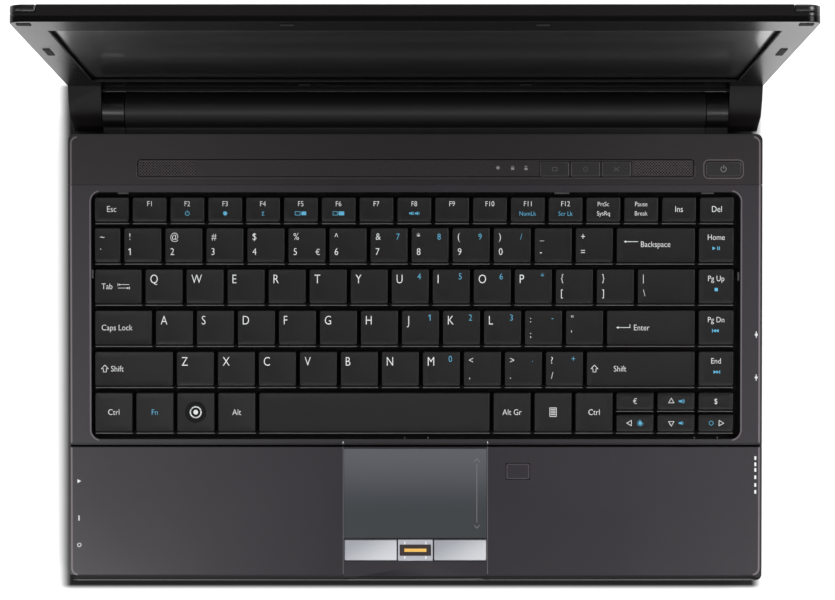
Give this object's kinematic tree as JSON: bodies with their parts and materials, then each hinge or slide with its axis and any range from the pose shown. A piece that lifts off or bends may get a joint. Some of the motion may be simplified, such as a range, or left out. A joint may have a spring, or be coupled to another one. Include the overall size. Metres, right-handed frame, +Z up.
{
  "type": "laptop computer",
  "caption": "Open clamshell laptop with wedge base, full keyboard, touchpad with click buttons, round battery hinge bar and upright widescreen lid.",
  "frame": {"origin": "on the desk under the middle of the open laptop's bounding box", "axes": "+X the user's right, +Y towards the hinges and lid, +Z up"},
  "size_m": [0.322, 0.2475, 0.2331],
  "materials": {
    "case": "fine matt grain",
    "deck": "satin charcoal",
    "deck_cover": "satin charcoal",
    "strip": "dark satin with fine holes",
    "keyboard_plate": "black",
    "dome_rubber": "matt",
    "link_plastic": "white",
    "touchpad": "smooth slate blue",
    "reader": "silver grey",
    "circuit_board": "green solder mask",
    "copper": "bare copper",
    "fins": "bare",
    "fan_plastic": "black",
    "drive_metal": "cast",
    "hinge_cap": "smooth black",
    "hinge_steel": "plated",
    "battery": "textured black",
    "foot_rubber": "matt black",
    "screw_steel": "blackened",
    "port_metal": "plated",
    "jack_plastic": "black",
    "connector_plastic": "blue",
    "button": "satin black",
    "click_button": "silver satin",
    "keycap": "fine matt black",
    "lid_shell": "satin blue-black",
    "bezel": "fine grain",
    "screen": "dark glossy",
    "lid_corner": "satin black"
  },
  "bodies": {
    "base": {"lower_case": "case", "upper_case": "deck", "middle_cover": "deck_cover", "control_strip": "strip", "keyboard_plate": "keyboard_plate", "rubber_domes": "dome_rubber", "scissor_links": "link_plastic", "touchpad_panel": "touchpad", "fingerprint_reader": "reader", "motherboard": "circuit_board", "processor_heat_sink": "copper", "heat_pipe": "copper", "exhaust_fins": "fins", "fan_housing": "fan_plastic", "hard_drive": "drive_metal", "memory_module": "circuit_board", "wireless_card": "circuit_board", "left_speaker": "fan_plastic", "right_speaker": "fan_plastic", "left_hinge_cap": "hinge_cap", "right_hinge_cap": "hinge_cap", "left_hinge_bracket": "hinge_steel", "right_hinge_bracket": "hinge_steel", "battery_pack": "battery", "rubber_feet": "foot_rubber", "service_cover": "case", "case_screws": "screw_steel", "usb_ports": "port_metal", "audio_jacks": "jack_plastic", "card_reader": "port_metal", "network_port": "port_metal", "display_connector": "connector_plastic", "power_jack": "jack_plastic"},
    "lid": {"lid_cover": "lid_shell", "lid_bezel": "bezel", "lcd_panel": "screen", "lid_bumpers": "foot_rubber", "left_lid_corner": "lid_corner", "right_lid_corner": "lid_corner", "left_hinge_arm": "hinge_steel", "right_hinge_arm": "hinge_steel"},
    "function_keys_body": {"function_keys": "keycap"},
    "number_keys_body": {"number_keys": "keycap"},
    "top_letter_keys_body": {"top_letter_keys": "keycap"},
    "home_letter_keys_body": {"home_letter_keys": "keycap"},
    "lower_letter_keys_body": {"lower_letter_keys": "keycap"},
    "bottom_row_keys_body": {"bottom_row_keys": "keycap"},
    "space_bar_body": {"space_bar": "keycap"},
    "arrow_keys_body": {"arrow_keys": "keycap"},
    "navigation_keys_body": {"navigation_keys": "keycap"},
    "launch_button_1_body": {"launch_button_1": "button"},
    "launch_button_2_body": {"launch_button_2": "button"},
    "launch_button_3_body": {"launch_button_3": "button"},
    "power_button_body": {"power_button": "button"},
    "left_click_button_body": {"left_click_button": "click_button"},
    "right_click_button_body": {"right_click_button": "click_button"},
    "touchpad_lock_button_body": {"touchpad_lock_button": "button"},
    "fan_rotor_body": {"fan_rotor": "fan_plastic"},
    "battery_latch_body": {"battery_latch": "case"},
    "battery_lock_body": {"battery_lock": "case"}
  },
  "joints": [
    {"name": "lid_hinge", "type": "hinge", "parent": "base", "child": "lid", "pos_m": [0, 0.0954, 0.01488], "axis": [-1, 0, 0], "range_deg": [-94.4, 40]},
    {"name": "function_keys_press", "type": "slide", "parent": "base", "child": "function_keys_body", "axis": [0, 0.0244, -0.9997], "range_m": [0, 0.0025], "stiffness_N_per_m": 300, "springref_m": -0.001, "deforming": ["rubber_domes", "scissor_links"]},
    {"name": "number_keys_press", "type": "slide", "parent": "base", "child": "number_keys_body", "axis": [0, 0.0244, -0.9997], "range_m": [0, 0.0025], "stiffness_N_per_m": 300, "springref_m": -0.001, "deforming": ["rubber_domes", "scissor_links"]},
    {"name": "top_letter_keys_press", "type": "slide", "parent": "base", "child": "top_letter_keys_body", "axis": [0, 0.0244, -0.9997], "range_m": [0, 0.0025], "stiffness_N_per_m": 300, "springref_m": -0.001, "deforming": ["rubber_domes", "scissor_links"]},
    {"name": "home_letter_keys_press", "type": "slide", "parent": "base", "child": "home_letter_keys_body", "axis": [0, 0.0244, -0.9997], "range_m": [0, 0.0025], "stiffness_N_per_m": 300, "springref_m": -0.001, "deforming": ["rubber_domes", "scissor_links"]},
    {"name": "lower_letter_keys_press", "type": "slide", "parent": "base", "child": "lower_letter_keys_body", "axis": [0, 0.0244, -0.9997], "range_m": [0, 0.0025], "stiffness_N_per_m": 300, "springref_m": -0.001, "deforming": ["rubber_domes", "scissor_links"]},
    {"name": "bottom_row_keys_press", "type": "slide", "parent": "base", "child": "bottom_row_keys_body", "axis": [0, 0.0244, -0.9997], "range_m": [0, 0.0025], "stiffness_N_per_m": 300, "springref_m": -0.001, "deforming": ["rubber_domes", "scissor_links"]},
    {"name": "space_bar_press", "type": "slide", "parent": "base", "child": "space_bar_body", "axis": [0, 0.0244, -0.9997], "range_m": [0, 0.0025], "stiffness_N_per_m": 300, "springref_m": -0.001, "deforming": ["rubber_domes", "scissor_links"]},
    {"name": "arrow_keys_press", "type": "slide", "parent": "base", "child": "arrow_keys_body", "axis": [0, 0.0244, -0.9997], "range_m": [0, 0.0025], "stiffness_N_per_m": 300, "springref_m": -0.001, "deforming": ["rubber_domes", "scissor_links"]},
    {"name": "navigation_keys_press", "type": "slide", "parent": "base", "child": "navigation_keys_body", "axis": [0, 0.0244, -0.9997], "range_m": [0, 0.0025], "stiffness_N_per_m": 300, "springref_m": -0.001, "deforming": ["rubber_domes", "scissor_links"]},
    {"name": "launch_button_1_press", "type": "slide", "parent": "base", "child": "launch_button_1_body", "axis": [0, 0.0244, -0.9997], "range_m": [0, 0.0008], "stiffness_N_per_m": 200, "springref_m": -0.0008},
    {"name": "launch_button_2_press", "type": "slide", "parent": "base", "child": "launch_button_2_body", "axis": [0, 0.0244, -0.9997], "range_m": [0, 0.0008], "stiffness_N_per_m": 200, "springref_m": -0.0008},
    {"name": "launch_button_3_press", "type": "slide", "parent": "base", "child": "launch_button_3_body", "axis": [0, 0.0244, -0.9997], "range_m": [0, 0.0008], "stiffness_N_per_m": 200, "springref_m": -0.0008},
    {"name": "power_button_press", "type": "slide", "parent": "base", "child": "power_button_body", "axis": [0, 0.0244, -0.9997], "range_m": [0, 0.0008], "stiffness_N_per_m": 200, "springref_m": -0.0008},
    {"name": "left_click_button_press", "type": "slide", "parent": "base", "child": "left_click_button_body", "axis": [0, 0.0244, -0.9997], "range_m": [0, 0.0007], "stiffness_N_per_m": 200, "springref_m": -0.0008},
    {"name": "right_click_button_press", "type": "slide", "parent": "base", "child": "right_click_button_body", "axis": [0, 0.0244, -0.9997], "range_m": [0, 0.0007], "stiffness_N_per_m": 200, "springref_m": -0.0008},
    {"name": "touchpad_lock_button_press", "type": "slide", "parent": "base", "child": "touchpad_lock_button_body", "axis": [0, 0.0244, -0.9997], "range_m": [0, 0.0008], "stiffness_N_per_m": 200, "springref_m": -0.0008},
    {"name": "fan_spin", "type": "hinge", "parent": "base", "child": "fan_rotor_body", "pos_m": [-0.126, 0.00814, 0.00815], "axis": [0, -0.0244, 0.9997], "continuous": true},
    {"name": "battery_latch_slide", "type": "slide", "parent": "base", "child": "battery_latch_body", "axis": [1, 0, 0], "range_m": [0, 0.006], "stiffness_N_per_m": 100, "springref_m": -0.003},
    {"name": "battery_lock_slide", "type": "slide", "parent": "base", "child": "battery_lock_body", "axis": [1, 0, 0], "range_m": [0, 0.006]}
  ]
}
